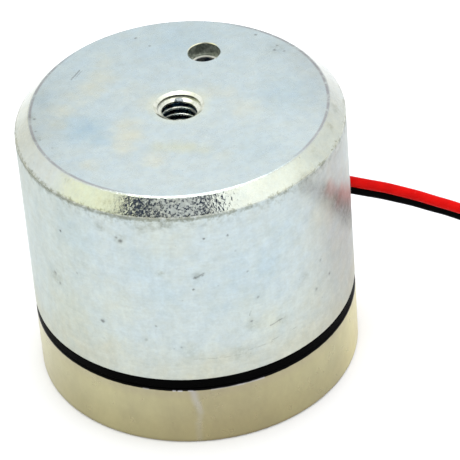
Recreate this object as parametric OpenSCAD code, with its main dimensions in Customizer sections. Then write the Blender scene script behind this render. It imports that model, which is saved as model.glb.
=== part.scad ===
// Round holding electromagnet on its keeper plate, with two flying leads.
// Frame: the origin is on the axis, at the surface that the keeper stands on.
// +Z runs up through the mounting thread and +X points to the lead exit.

/* [Magnet body] */
// Diameter of the steel housing
body_d = 30; // [29:0.5:32]
// Height of the housing above the rim ring
body_h = 19.7; // [19.5:0.1:22]
// Chamfer round the back face
body_chamfer = 1.4; // [0.8:0.1:1.6]
// Thickness of the steel behind the winding
back_t = 5; // [5:0.1:6]
// Diameter of the centre pole
pole_d = 13; // [12:0.5:13]
// Thickness of the housing's side wall
wall_t = 2.5; // [2.3:0.1:2.6]

/* [Keeper and rim ring] */
// Thickness of the keeper plate
keeper_t = 6.4; // [6:0.1:9]
// Bevel on both edges of the keeper
keeper_bevel = 0.25; // [0.1:0.05:0.5]
// Height of the step in the pole face that holds the rim ring
ring_h = 1; // [0.8:0.1:1.2]
// Width of that step
ring_w = 1.4; // [1.2:0.1:1.5]

/* [Mounting holes] */
// Nominal diameter of both mounting threads
thread_d = 4; // [4:0.5:5]
// Drill size under the threads
thread_drill_d = 3.3; // [3:0.1:3.5]
// Diameter of the countersink at a thread's mouth
thread_sink_d = 4.6; // [4.2:0.1:5.6]
// Length of full thread in the housing
thread_len = 7; // [5:0.5:8]
// Length of full thread in the keeper
keeper_thread_len = 3.6; // [3:0.1:4]
// Diameter of the locating hole in the back face
locate_d = 3; // [2.5:0.1:3.2]
// Depth of the locating hole's wide part
locate_h = 1.35; // [1:0.05:1.6]
// Distance of the locating hole from the axis
locate_r = 8.6; // [8:0.1:9]
// Angle of the locating hole from the lead exit
locate_angle = 60; // [45:5:90]

/* [Leads] */
// Diameter over the insulation of one lead
lead_d = 1; // [0.9:0.05:1]
// Diameter of the stranded conductor in a lead
strand_d = 0.5; // [0.4:0.05:0.6]
// Height of the lead exit above the standing surface
exit_z = 15.1; // [15:0.1:15.2]
// Diameter of the lead exit hole
exit_d = 3.6; // [3.5:0.1:3.8]
// Length of a stripped and tinned lead end
tip_len = 4; // [3:0.5:6]

/* [Hidden] */
$fn = 96;
eps = 0.01;

body_r = body_d / 2;
pole_z = keeper_t;                          // the pole faces rest on the keeper
ring_top = pole_z + ring_h;
body_top = ring_top + body_h;
pole_r = pole_d / 2;
chamber_r = body_r - wall_t;
chamber_top = body_top - back_t;
edge_r = 0.15;                              // rounding of the chamfer's two edges
drill_tip = tan(31);                        // height of a drill's point per unit of radius

// Stack of insulation and winding inside the chamber
side_gap = 0.1;
face_recess = 0.05;
potting_t = 2;
washer_t = 0.3;
flange_t = 0.8;
tube_t = 0.7;
winding_t = 2.3;
tape_t = 0.2;
washer_in_r = pole_r + side_gap;
washer_out_r = chamber_r - side_gap;
potting_top = pole_z + potting_t;
bobbin_z = potting_top + washer_t;
bobbin_top = chamber_top - washer_t;
winding_z = bobbin_z + flange_t;
winding_top = bobbin_top - flange_t;
winding_in_r = washer_in_r + tube_t;
winding_out_r = winding_in_r + winding_t;
tape_r = winding_out_r + tape_t;

// Splices between the leads and the winding's own wire, lying against the tape
splice_x = tape_r + 0.95;
sleeve_r = 0.6;
sleeve_bore_r = 0.375;
sleeve_y = [1.6, 4.4];
joint_r = 0.35;
joint_y = [1.9, 4.1];
start_z = exit_z + 1.1;
finish_z = exit_z - 0.5;
tail_r = 0.1;
slot_angle = 36;                            // slot in the flange, and the hole in the tape
slot_w = 0.6;

// The coil that the unseen length of both leads is wound into: two layers of turns
coil_x = 38.5;
coil_y = -3.5;
coil_lift = 0.3;                            // it lies on its ties
coil_r0 = 3.3;                              // first turn's centre line
coil_pitch = 1.02;
coil_turns = 4.5;
coil_r1 = coil_r0 + coil_pitch * coil_turns;
coil_h = 2 * lead_d;
tie_w = 1.2;
tie_t = 0.3;
tie_in_r = 2.7;
tie_out_r = coil_r1 + lead_d / 2 + 0.1;
tie_angles = [50, 220];

// Middle line of the pair of leads from inside the exit to the coil: x, y, z and
// the angle by which the black lead is turned from straight below the red one
route = [
    [12.6, 0.4, 15.35, 15], [15, 0, 14.45, 15], [17, -0.4, 13.75, 16],
    [18.5, -0.65, 13.2, 17], [20, -0.9, 12.55, 19], [21.5, -1.2, 11.9, 21],
    [23, -1.5, 11.15, 23], [24.5, -1.75, 10.4, 25], [26, -2, 9.55, 25],
    [27.5, -2.2, 8.65, 23], [29, -2.35, 7.7, 20], [30.5, -2.45, 6.65, 16],
    [32, -2.5, 5.6, 12], [33.5, -2.65, 4.65, 7], [34.8, -2.9, 3.9, 3]
];
// Tails of the two leads, from the coil's last turn to the stripped ends
red_tail_route = [
    [30.6, -5.2, 1.8], [30.33, -6.3, 1.72], [29.8, -7.4, 1.32], [29.4, -8.5, 0.86],
    [29.1, -9.6, 0.56], [29, -10.8, 0.5]
];
black_tail_route = [
    [30.6, -5.2, 0.8], [30.65, -6.3, 0.72], [30.68, -7.4, 0.6], [30.72, -8.5, 0.53],
    [30.8, -9.6, 0.5], [30.9, -10.8, 0.5]
];
// Small wires inside: each runs from a lead or a solder joint to its end
red_inner_route = [
    [12.5, 0.3, 15.9], [11.9, 0.4, 16.05], [11.3, 0.7, 16.2], [10.9, 1.2, 16.2],
    [splice_x, joint_y[0], start_z]
];
black_inner_route = [
    [12.7, 0.4, 14.8], [12, 0.2, 14.7], [11.4, -0.2, 14.6], [10.95, -1, 14.6],
    [splice_x, -joint_y[0], finish_z]
];
start_tail_route = [
    [splice_x, joint_y[1], start_z], [10.55, 5.2, 16.6], [9.95, 6.2, 17.8],
    [9.5, 6.8, 19.4], [9.1, 6.65, 20.8], [8.6, 6.25, 21.35], [7.4, 5.38, 21.4],
    [6.5, 4.72, 21.3], [6.3, 4.58, 21]
];
finish_tail_route = [
    [splice_x, -joint_y[1], finish_z], [10.4, -5.2, 14.4], [9.8, -6.1, 13.6],
    [9.1, -6.35, 12.6], [8.4, -6.1, 12.2],
    [winding_out_r * cos(slot_angle), -winding_out_r * sin(slot_angle), 12.2]
];

zinc = "#cfd8da";
nickel = "#c9bf9d";
rubber = "#151515";
epoxy = "#26262a";
paper = "#8f8a80";
nylon = "#efece2";
copper = "#b4652f";
tape = "#d9b23c";
solder = "#b9bcc0";
fibre = "#e9e6da";
red = "#d8120c";
black = "#101010";

function unit(v) = v / norm(v);
function xyz(p) = [p[0], p[1], p[2]];
function heading(path, i) = unit(
    xyz(path[min(i + 1, len(path) - 1)]) - xyz(path[max(i - 1, 0)]));
// Direction across a path that is nearest to straight down
function downward(path, i) =
    let (t = heading(path, i)) unit([0, 0, -1] + t * t[2]);
function sideways(path, i) = cross(heading(path, i), downward(path, i));
// Centre line of one lead of the pair; side is 1 for the lower, black one
function strand(path, side) = [
    for (i = [0:len(path) - 1])
        xyz(path[i]) + side * lead_d / 2
            * (cos(path[i][3]) * downward(path, i) + sin(path[i][3]) * sideways(path, i))
];
// Direction across a path that is nearest to ref, for wires that turn upright
function toward(path, i, ref) =
    let (t = heading(path, i)) unit(ref - t * (t * ref));

// Round tube swept along a path, as one closed polyhedron
module swept(path, r, ref = [0, 0, 1], sides = 8) {
    n = len(path);
    points = [
        for (i = [0:n - 1]) let (u = toward(path, i, ref), v = cross(heading(path, i), u))
            for (k = [0:sides - 1]) let (a = 360 * k / sides)
                path[i] + r * (cos(a) * u + sin(a) * v)
    ];
    sides_faces = [
        for (i = [0:n - 2]) for (k = [0:sides - 1]) let (j = (k + 1) % sides)
            [i * sides + k, (i + 1) * sides + k, (i + 1) * sides + j, i * sides + j]
    ];
    ends = [
        [for (k = [0:sides - 1]) k],
        [for (k = [sides - 1:-1:0]) (n - 1) * sides + k]
    ];
    polyhedron(points, concat(sides_faces, ends), convexity = 4);
}

// Flat ring between two radii and two heights
module washer(r0, r1, z0, z1) {
    translate([0, 0, z0]) difference() {
        cylinder(r = r1, h = z1 - z0);
        translate([0, 0, -eps]) cylinder(r = r0, h = z1 - z0 + 2 * eps);
    }
}

// Points of a small rounded corner, from angle a0 to a1 about a centre
function corner(c, r, a0, a1) = [
    for (k = [0:4]) let (a = a0 + (a1 - a0) * k / 4) c + r * [cos(a), sin(a)]
];

// Blind threaded hole pointing down from z, at the thread's nominal diameter, with a
// countersink that a drill's point leaves
module threaded_hole(z, full_len, drill_len) {
    sink_h = (thread_sink_d - thread_d) / 2 * drill_tip;
    rotate_extrude() polygon([
        [0, z + 1], [thread_sink_d / 2, z + 1], [thread_sink_d / 2, z], [thread_d / 2, z - sink_h],
        [thread_d / 2, z - sink_h - full_len], [thread_drill_d / 2, z - sink_h - full_len],
        [thread_drill_d / 2, z - drill_len], [0, z - drill_len - thread_drill_d / 2 * drill_tip]
    ]);
}

module locating_hole() {
    edge = 0.06;
    inner_r = locate_d / 2 - 0.3;
    drill_h = 3.6;
    r = locate_d / 2;
    translate([locate_r * cos(locate_angle), locate_r * sin(locate_angle), body_top])
        rotate_extrude() polygon([
            [0, 1], [r + edge, 1], [r + edge, 0], [r, -edge], [r, -locate_h],
            [inner_r, -locate_h], [inner_r, -drill_h], [0, -drill_h - inner_r * drill_tip]
        ]);
}

module exit_bore(r, x0, x1) {
    translate([x0, 0, exit_z]) rotate([0, 90, 0]) cylinder(r = r, h = x1 - x0);
}

// Plate that the pole faces close on, and that is fastened from below
module keeper_disc() {
    color(nickel) difference() {
        rotate_extrude() polygon(concat(
            [[0, 0]],
            corner([body_r - keeper_bevel, keeper_bevel], keeper_bevel, -90, 0),
            corner([body_r - keeper_bevel, keeper_t - keeper_bevel], keeper_bevel, 0, 90),
            [[0, keeper_t]]
        ));
        mirror([0, 0, 1]) threaded_hole(0, keeper_thread_len, keeper_thread_len + 0.8);
    }
}

// Turned steel pot, in one piece with its centre pole
module housing() {
    step_r = body_r - ring_w;
    flat_r = body_r - body_chamfer;
    soft = edge_r * tan(22.5);              // from a chamfer's corner to where its rounding starts
    color(zinc) difference() {
        rotate_extrude() polygon(concat(
            [[0, pole_z], [pole_r, pole_z], [pole_r, chamber_top], [chamber_r, chamber_top],
             [chamber_r, pole_z], [step_r, pole_z], [step_r, ring_top]],
            corner([body_r - edge_r, ring_top + edge_r], edge_r, -90, 0),
            corner([body_r - edge_r, body_top - body_chamfer - soft], edge_r, 0, 45),
            corner([flat_r - soft, body_top - edge_r], edge_r, 45, 90),
            [[0, body_top]]
        ));
        threaded_hole(body_top, thread_len, thread_len + 2);
        locating_hole();
        exit_bore(exit_d / 2, pole_r + 1, body_r + 1);
    }
}

// Elastomer ring in the step round the pole face
module rim_ring() {
    soft = 0.12;
    r0 = body_r - ring_w;
    r1 = body_r - 0.04;
    z0 = pole_z + face_recess;
    color(rubber) rotate_extrude() polygon(concat(
        [[r0, z0]],
        corner([r1 - soft, z0 + soft], soft, -90, 0),
        corner([r1 - soft, ring_top - soft], soft, 0, 90),
        [[r0, ring_top]]
    ));
}

module potting_ring() {
    color(epoxy) washer(pole_r, chamber_r, pole_z + face_recess, potting_top);
}

module face_washer() {
    color(paper) washer(washer_in_r, washer_out_r, potting_top, bobbin_z);
}

module back_washer() {
    color(paper) washer(washer_in_r, washer_out_r, bobbin_top, chamber_top);
}

// Moulded spool; the slot lets the winding's inner wire out
module bobbin() {
    flange_r = chamber_r - 0.2;
    color(nylon) difference() {
        union() {
            washer(washer_in_r, winding_in_r, bobbin_z, bobbin_top);
            washer(washer_in_r, flange_r, bobbin_z, winding_z);
            washer(washer_in_r, flange_r, winding_top, bobbin_top);
        }
        rotate([0, 0, slot_angle]) translate([winding_in_r, -slot_w / 2, winding_top - eps])
            cube([flange_r, slot_w, flange_t + 2 * eps]);
    }
}

module coil_winding() {
    color(copper) washer(winding_in_r, winding_out_r, winding_z, winding_top);
}

module coil_tape() {
    color(tape) difference() {
        washer(winding_out_r, tape_r, winding_z, winding_top);
        rotate([0, 0, -slot_angle]) translate([winding_out_r - 1, 0, 12.2])
            rotate([0, 90, 0]) cylinder(r = tail_r + 0.1, h = 2, $fn = 24);
    }
}

module start_tail() {
    color(copper) swept(start_tail_route, tail_r, [1, 0, 0.2]);
}

module finish_tail() {
    color(copper) swept(finish_tail_route, tail_r);
}

// A cylinder along Y beside the tape, on the side that side gives
module along_y(r, y, z, side) {
    translate([splice_x, side > 0 ? y[0] : -y[1], z])
        rotate([-90, 0, 0]) cylinder(r = r, h = y[1] - y[0], $fn = 32);
}

module start_joint() {
    color(solder) along_y(joint_r, joint_y, start_z, 1);
}

module finish_joint() {
    color(solder) along_y(joint_r, joint_y, finish_z, -1);
}

module sleeve(z, side) {
    color(fibre) difference() {
        along_y(sleeve_r, sleeve_y, z, side);
        along_y(sleeve_bore_r, [sleeve_y[0] - eps, sleeve_y[1] + eps], z, side);
    }
}

module start_sleeve() {
    sleeve(start_z, 1);
}

module finish_sleeve() {
    sleeve(finish_z, -1);
}

module red_inner_end() {
    color(solder) swept(red_inner_route, strand_d / 2);
}

module black_inner_end() {
    color(solder) swept(black_inner_route, strand_d / 2);
}

// A straight bore along the first stretch of a lead
module lead_bore(line) {
    way = unit(line[1] - line[0]);
    translate(line[0] - way)
        rotate([0, acos(way[2]), atan2(way[1], way[0])])
            cylinder(r = lead_d / 2, h = norm(line[1] - line[0]) + 2, $fn = 32);
}

// Cast plug that seals the exit and grips both leads
module lead_seal() {
    color(epoxy) difference() {
        exit_bore(exit_d / 2 - eps, chamber_r - 0.1, body_r + 0.25);
        lead_bore(strand(route, -1));
        lead_bore(strand(route, 1));
    }
}

module lead_red() {
    color(red) swept(strand(route, -1), lead_d / 2);
}

module lead_black() {
    color(black) swept(strand(route, 1), lead_d / 2);
}

// Outer shape of both leads' turns
module lead_coil() {
    color("#7a1512") translate([coil_x, coil_y, 0])
        washer(coil_r0 - lead_d / 2, coil_r1 + lead_d / 2, coil_lift, coil_lift + coil_h);
}

module red_tail() {
    color(red) swept(red_tail_route, lead_d / 2);
}

module black_tail() {
    color(black) swept(black_tail_route, lead_d / 2);
}

// Stripped and tinned end that goes straight on from a tail
module tip(line) {
    last = line[len(line) - 1];
    way = unit(last - line[len(line) - 2]);
    color(solder) translate(last)
        rotate([0, 90, atan2(way[1], way[0])]) cylinder(r = strand_d / 2, h = tip_len, $fn = 24);
}

module red_tip() {
    tip(red_tail_route);
}

module black_tip() {
    tip(black_tail_route);
}

// Flat tie round the coil's section; the coil rests on its lower side
module coil_tie(angle) {
    color(rubber) translate([coil_x, coil_y, 0]) rotate([0, 0, angle]) difference() {
        translate([tie_in_r - tie_t, -tie_w / 2, 0])
            cube([tie_out_r - tie_in_r + 2 * tie_t, tie_w, coil_h + coil_lift + tie_t]);
        translate([tie_in_r, -tie_w, coil_lift])
            cube([tie_out_r - tie_in_r, 2 * tie_w, coil_h]);
    }
}

module coil_tie_1() {
    coil_tie(tie_angles[0]);
}

module coil_tie_2() {
    coil_tie(tie_angles[1]);
}

keeper_disc();
housing();
rim_ring();
potting_ring();
face_washer();
bobbin();
coil_winding();
coil_tape();
back_washer();
start_tail();
finish_tail();
start_joint();
finish_joint();
start_sleeve();
finish_sleeve();
red_inner_end();
black_inner_end();
lead_seal();
lead_red();
lead_black();
lead_coil();
red_tail();
black_tail();
red_tip();
black_tip();
coil_tie_1();
coil_tie_2();
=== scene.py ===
"""Looks of a round holding electromagnet on its keeper plate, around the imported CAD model."""

from math import atan2, cos, pi, radians, sin, tan

import bpy
import numpy as np
from mathutils import Matrix, Vector


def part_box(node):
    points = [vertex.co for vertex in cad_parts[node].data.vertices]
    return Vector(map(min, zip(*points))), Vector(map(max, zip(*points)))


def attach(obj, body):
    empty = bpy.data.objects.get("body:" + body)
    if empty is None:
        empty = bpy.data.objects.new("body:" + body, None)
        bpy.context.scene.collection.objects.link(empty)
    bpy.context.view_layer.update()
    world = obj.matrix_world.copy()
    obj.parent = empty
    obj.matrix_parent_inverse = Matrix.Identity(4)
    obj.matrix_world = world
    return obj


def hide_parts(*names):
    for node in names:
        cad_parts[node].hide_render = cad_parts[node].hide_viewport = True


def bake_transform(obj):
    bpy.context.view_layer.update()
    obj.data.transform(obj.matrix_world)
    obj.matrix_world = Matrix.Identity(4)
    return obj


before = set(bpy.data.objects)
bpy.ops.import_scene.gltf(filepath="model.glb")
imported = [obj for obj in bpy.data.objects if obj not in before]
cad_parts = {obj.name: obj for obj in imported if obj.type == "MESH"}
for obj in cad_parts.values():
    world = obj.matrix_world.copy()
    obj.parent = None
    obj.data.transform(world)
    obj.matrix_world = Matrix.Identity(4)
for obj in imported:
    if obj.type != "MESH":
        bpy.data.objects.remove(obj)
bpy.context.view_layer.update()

MM = 0.001  # one millimetre in scene units

# ---- camera

EYE = Vector((-45.78, -231.02, 193.0)) * MM
LOOK_TURN = radians(-12.1)  # turn of the view about the object's axis
LOOK_DOWN = radians(37.46)
ROLL = radians(-4.77)
FOCAL = 250.5
SENSOR = 36.0


def make_camera():
    data = bpy.data.cameras.new("camera")
    data.lens = FOCAL
    data.sensor_width = SENSOR
    data.clip_start = 0.01
    data.clip_end = 50.0
    camera = bpy.data.objects.new("camera", data)
    bpy.context.scene.collection.objects.link(camera)
    camera.matrix_world = (
        Matrix.Translation(EYE)
        @ Matrix.Rotation(LOOK_TURN, 4, "Z")
        @ Matrix.Rotation(pi / 2 - LOOK_DOWN, 4, "X")
        @ Matrix.Rotation(ROLL, 4, "Z")
    )
    bpy.context.scene.camera = camera


make_camera()

# ---- mesh helpers


NEARLY_PARALLEL = 0.95  # cosine
TUBE_CREASE = 60  # degrees, for the round ends of wires
LINE_STEP = 0.3  # between the points of a lead
FINE_STEP = 0.12  # between the points of thin wires


def unit(v):
    return v / np.linalg.norm(v)


def add_mesh(name, verts, faces, smooth=True):
    """A mesh object from points in millimetres."""
    mesh = bpy.data.meshes.new(name)
    mesh.from_pydata([tuple(MM * float(c) for c in v) for v in verts], [], faces)
    mesh.validate()
    mesh.update()
    mesh.shade_smooth() if smooth else mesh.shade_flat()
    piece = bpy.data.objects.new(name, mesh)
    bpy.context.scene.collection.objects.link(piece)
    return piece


def smooth_line(points, step):
    """Points about step apart on a smooth curve through the given ones."""
    p = np.array(points, float)
    along = np.r_[0, np.cumsum(np.linalg.norm(np.diff(p, axis=0), axis=1))]
    slope = np.gradient(p, along, axis=0)
    s = np.linspace(0, along[-1], int(along[-1] / step) + 2)
    i = np.clip(np.searchsorted(along, s, side="right") - 1, 0, len(p) - 2)
    h = (along[i + 1] - along[i])[:, None]
    t = (s - along[i])[:, None] / h
    return (
        (2 * t**3 - 3 * t**2 + 1) * p[i]
        + (t**3 - 2 * t**2 + t) * h * slope[i]
        + (3 * t**2 - 2 * t**3) * p[i + 1]
        + (t**3 - t**2) * h * slope[i + 1]
    )


def quads(a, b, n, flip=False):
    """Faces between two rings of n vertices that start at numbers a and b."""
    ring = [(k, (k + 1) % n) for k in range(n)]
    if flip:
        return [(a + k, a + j, b + j, b + k) for k, j in ring]
    return [(a + k, b + k, b + j, a + j) for k, j in ring]


def tube_parts(line, radius, sides, first=0):
    """Vertices and faces of a closed round tube; radius is a number or one per point."""
    line = np.array(line, float)
    radii = np.broadcast_to(np.array(radius, float), len(line))
    heading = np.gradient(line, axis=0)
    heading /= np.linalg.norm(heading, axis=1)[:, None]
    u = np.array((0.0, 0.0, 1.0))
    if abs(heading[0] @ u) > NEARLY_PARALLEL:
        u = np.array((1.0, 0.0, 0.0))
    verts = []
    for point, t, r in zip(line, heading, radii):
        u = unit(u - t * (t @ u))
        v = np.cross(t, u)
        for k in range(sides):
            a = 2 * pi * k / sides
            verts.append(point + r * (cos(a) * u + sin(a) * v))
    faces = []
    for i in range(len(line) - 1):
        faces += quads(first + i * sides, first + (i + 1) * sides, sides, flip=True)
    last = first + (len(line) - 1) * sides
    faces.append(tuple(first + k for k in reversed(range(sides))))
    faces.append(tuple(last + k for k in range(sides)))
    return verts, faces


def crease(piece, degrees):
    """Sharp edges where faces meet at more than this angle."""
    piece.data.set_sharp_from_angle(angle=radians(degrees))
    return piece


def add_tube(name, line, radius, sides=16):
    return crease(add_mesh(name, *tube_parts(line, radius, sides)), TUBE_CREASE)


def add_strands(name, line, radius, lay_length, sides=10):
    """Seven twisted strands: one in the middle and six round it."""
    line = smooth_line(line, FINE_STEP)
    along = np.r_[0, np.cumsum(np.linalg.norm(np.diff(line, axis=0), axis=1))]
    heading = np.gradient(line, axis=0)
    heading /= np.linalg.norm(heading, axis=1)[:, None]
    wire = radius / 3
    verts, faces = tube_parts(line, wire, sides)
    for k in range(6):
        strand_line = []
        for point, t, s in zip(line, heading, along):
            u = unit(np.array((0, 0, 1.0)) - t * t[2])
            v = np.cross(t, u)
            a = 2 * pi * (k / 6 + s / lay_length)
            strand_line.append(point + 2 * wire * (cos(a) * u + sin(a) * v))
        more, its_faces = tube_parts(strand_line, wire, sides, len(verts))
        verts += more
        faces += its_faces
    return crease(add_mesh(name, verts, faces), TUBE_CREASE)


def lathe(name, profile, sides, axis_turn=None, bumps=None):
    """Closed solid of revolution about Z from (radius, z) points; bumps(angle, r, z) changes r."""
    verts, faces = [], []
    count = len(profile)
    for k in range(sides):
        a = 2 * pi * k / sides
        for r, z in profile:
            rr = bumps(a, r, z) if bumps else r
            verts.append(Vector((rr * cos(a), rr * sin(a), z)))
    for k in range(sides):
        faces += quads(k * count, (k + 1) % sides * count, count)
    if axis_turn is not None:
        verts = [axis_turn @ v for v in verts]
    return add_mesh(name, verts, faces)


def span(node):
    """Lowest and highest corner of a CAD node, in millimetres."""
    low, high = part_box(node)
    return low / MM, high / MM


# ---- leads

LEAD_D = 1.0  # over the insulation
STRAND_D = 0.5
TIP_LEN = 4.0  # of bare strands
TIP_INSIDE = 0.6  # how far they reach into the insulation
TIP_LAY = 5.5  # length in which a strand goes round once
BODY_R = span("housing")[1].x

# Middle line of the pair from inside the exit to the coil: x, y, z and the angle by
# which the black lead is turned from straight below the red one
ROUTE = [
    (12.6, 0.4, 15.35, 15), (15, 0, 14.45, 15), (17, -0.4, 13.75, 16),
    (18.5, -0.65, 13.2, 17), (20, -0.9, 12.55, 19), (21.5, -1.2, 11.9, 21),
    (23, -1.5, 11.15, 23), (24.5, -1.75, 10.4, 25), (26, -2, 9.55, 25),
    (27.5, -2.2, 8.65, 23), (29, -2.35, 7.7, 20), (30.5, -2.45, 6.65, 16),
    (32, -2.5, 5.6, 12), (33.5, -2.65, 4.65, 7), (34.8, -2.9, 3.9, 3),
]
# Over the coil's turns and down inside them, to where the first turn starts
LEAD_IN = [
    (36.2, -3.45, 2.98, 0), (37.1, -4.3, 2.35, 0), (37.99, -5.2, 1.82, 0),
    (38.98, -5.78, 1.5, 0), (40.12, -5.78, 1.35, 0), (41.1, -5.2, 1.3, 0),
    (41.68, -4.22, 1.3, 0),
]
RED_TAIL = [
    (30.6, -5.2, 1.8), (30.33, -6.3, 1.72), (29.8, -7.4, 1.32), (29.4, -8.5, 0.86),
    (29.1, -9.6, 0.56), (29, -10.8, 0.5),
]
BLACK_TAIL = [
    (30.6, -5.2, 0.8), (30.65, -6.3, 0.72), (30.68, -7.4, 0.6), (30.72, -8.5, 0.53),
    (30.8, -9.6, 0.5), (30.9, -10.8, 0.5),
]
COIL_CENTRE = (38.5, -3.5)
COIL_MID_Z = 1.3
COIL_R0 = 3.3
COIL_PITCH = 1.02
COIL_TURNS = 4.5
POINTS_PER_TURN = 24


def coil_points():
    count = int(COIL_TURNS * POINTS_PER_TURN)
    points = []
    for k in range(count + 1):
        turn = COIL_TURNS * k / count
        r = COIL_R0 + COIL_PITCH * turn
        a = 2 * pi * turn
        x = COIL_CENTRE[0] + r * cos(a)
        y = COIL_CENTRE[1] + r * sin(a)
        points.append((x, y, COIL_MID_Z, 0))
    return points


def strand(path, side):
    """Centre line of one lead of the pair; side is 1 for the lower, black one, else -1."""
    path = np.array(path, float)
    middle, twist = path[:, :3], np.radians(path[:, 3])
    line = []
    for i, point in enumerate(middle):
        t = unit(middle[min(i + 1, len(middle) - 1)] - middle[max(i - 1, 0)])
        down = unit(np.array((0, 0, -1.0)) + t * t[2])
        across = np.cross(t, down)
        offset = cos(twist[i]) * down + sin(twist[i]) * across
        line.append(point + side * LEAD_D / 2 * offset)
    return line


def add_lead(name, side, tail, tip_name, nodes):
    pair = ROUTE + LEAD_IN + coil_points()
    line = smooth_line(strand(pair, side) + [np.array(p, float) for p in tail], LINE_STEP)
    lead = add_tube(name, line, LEAD_D / 2, 20)
    end, way = line[-1], unit(line[-1] - line[-2])
    tip_line = [end - TIP_INSIDE * way, end, end + way, end + TIP_LEN * way]
    tip = add_strands(tip_name, tip_line, STRAND_D / 2, TIP_LAY)
    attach(tip, "keeper_side")
    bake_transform(lead)
    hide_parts(*nodes)
    return lead, tip


red_lead, red_strands = add_lead(
    "red_lead", -1, RED_TAIL, "red_lead_strands", ["lead_red", "lead_coil", "red_tail"])
black_lead, black_strands = add_lead(
    "black_lead", 1, BLACK_TAIL, "black_lead_strands", ["lead_black", "lead_coil", "black_tail"])
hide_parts("red_tip")
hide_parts("black_tip")

# ---- detail pieces

THREAD_R = 2.0
THREAD_CREST_R = 1.62
THREAD_PITCH = 0.7
THREAD_ROOT_FLAT = 0.09
THREAD_CREST_FLAT = 0.17
THREAD_SIDES = 64  # steps a turn
RUN_OUT = THREAD_SIDES // 4  # steps in which the ridge fades at its ends
THREAD_CREASE = 35  # degrees
PIECE_SINK = 0.03  # how far a piece reaches into the wall it sits on


def add_thread(name, mouth_z, deep_z, start_angle, body):
    """Helical ridges of a right-hand internal thread, trimmed by the countersink."""
    up = 1 if mouth_z > deep_z else -1
    length = abs(mouth_z - deep_z)
    half_root = (THREAD_PITCH - THREAD_ROOT_FLAT) / 2
    half_crest = THREAD_CREST_FLAT / 2
    outer = THREAD_R + PIECE_SINK
    section = [
        (outer, -half_root), (THREAD_R, -half_root), (THREAD_CREST_R, -half_crest),
        (THREAD_CREST_R, half_crest), (THREAD_R, half_root), (outer, half_root),
    ]
    low = min(mouth_z, deep_z) + half_root
    count = int((length - 2 * half_root) / THREAD_PITCH * THREAD_SIDES)
    verts, faces = [], []
    for k in range(count + 1):
        a = start_angle + 2 * pi * k / THREAD_SIDES
        centre_z = low + THREAD_PITCH * k / THREAD_SIDES
        fade = min(1.0, k / RUN_OUT, (count - k) / RUN_OUT)
        for r, z in section:
            at_z = centre_z + z
            r = THREAD_R + (r - THREAD_R) * (fade if r < THREAD_R else 1)
            in_cone = (SINK_H - up * (mouth_z - at_z)) / DRILL_TIP
            r = max(r, THREAD_R + in_cone + PIECE_SINK / 2)
            verts.append((r * cos(a), r * sin(a), at_z))
    n = len(section)
    for k in range(count):
        faces += quads(k * n, (k + 1) * n, n, flip=True)
    faces.append(tuple(range(n)))
    faces.append(tuple(count * n + i for i in reversed(range(n))))
    piece = crease(add_mesh(name, verts, faces), THREAD_CREASE)
    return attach(piece, body)


BODY_TOP = span("housing")[1].z
BACK_THREAD_LEN = 7.0
KEEPER_THREAD_LEN = 3.6
BACK_THREAD_START = radians(169)
DRILL_TIP = tan(radians(31))  # height of a drill's point per unit of radius
SINK_R = 2.3
SINK_H = (SINK_R - THREAD_R) * DRILL_TIP
back_thread = add_thread(
    "back_thread", BODY_TOP, BODY_TOP - SINK_H - BACK_THREAD_LEN, BACK_THREAD_START, "magnet")
keeper_thread = add_thread("keeper_thread", 0, SINK_H + KEEPER_THREAD_LEN, 0, "keeper_side")


def add_seal():
    """Cast plug in the exit hole, with an uneven domed bead outside."""
    low, high = span("lead_seal")
    r = (high.z - low.z) / 2
    mid_z = (high.z + low.z) / 2
    proud = high.x - BODY_R + 0.12
    near_axis = 0.001
    neck_x = BODY_R - 0.3
    bead_x = BODY_R - 0.14
    bead_r = r + 0.16
    profile = [(near_axis, low.x)] + [(r * k / 4, low.x) for k in range(1, 5)]
    profile += [(r, low.x + (neck_x - low.x) * k / 6) for k in range(1, 7)]
    profile += [(bead_r, bead_x - 0.08)]
    for k in range(0, 9):
        a = pi / 2 * k / 8
        profile.append((max(bead_r * cos(a), near_axis), bead_x + (proud + 0.14) * sin(a)))

    def lumps(a, radius, x):
        if x < BODY_R - 0.25:
            return radius
        return radius * (1 + 0.035 * sin(3 * a + 0.7) + 0.02 * sin(5 * a))

    along_x = Matrix.Translation((0, 0, mid_z)) @ Matrix.Rotation(pi / 2, 4, "Y")
    piece = lathe("lead_seal_bead", profile, 48, along_x, lumps)
    crease(piece, 50)
    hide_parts("lead_seal")
    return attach(piece, "magnet")


seal = add_seal()


def add_winding():
    """Outside of the winding as turns of round wire that climb one wire a turn."""
    low, high = span("coil_winding")
    outer = high.x
    inner = 7.3
    wire = 0.23
    groove = 0.06
    rows = int((high.z - low.z) / wire) * 6

    def turns(a, r, z):
        if r < outer - 0.01:
            return r
        phase = pi * (z / wire - a / (2 * pi))
        return r - groove * (1 - abs(sin(phase)) ** 0.5)

    profile = [(inner, low.z), (inner, high.z)]
    profile += [(outer, high.z - (high.z - low.z) * k / rows) for k in range(rows + 1)]
    piece = lathe("winding_turns", profile, 72, None, turns)
    crease(piece, 70)
    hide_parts("coil_winding")
    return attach(piece, "magnet")


winding = add_winding()

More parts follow.
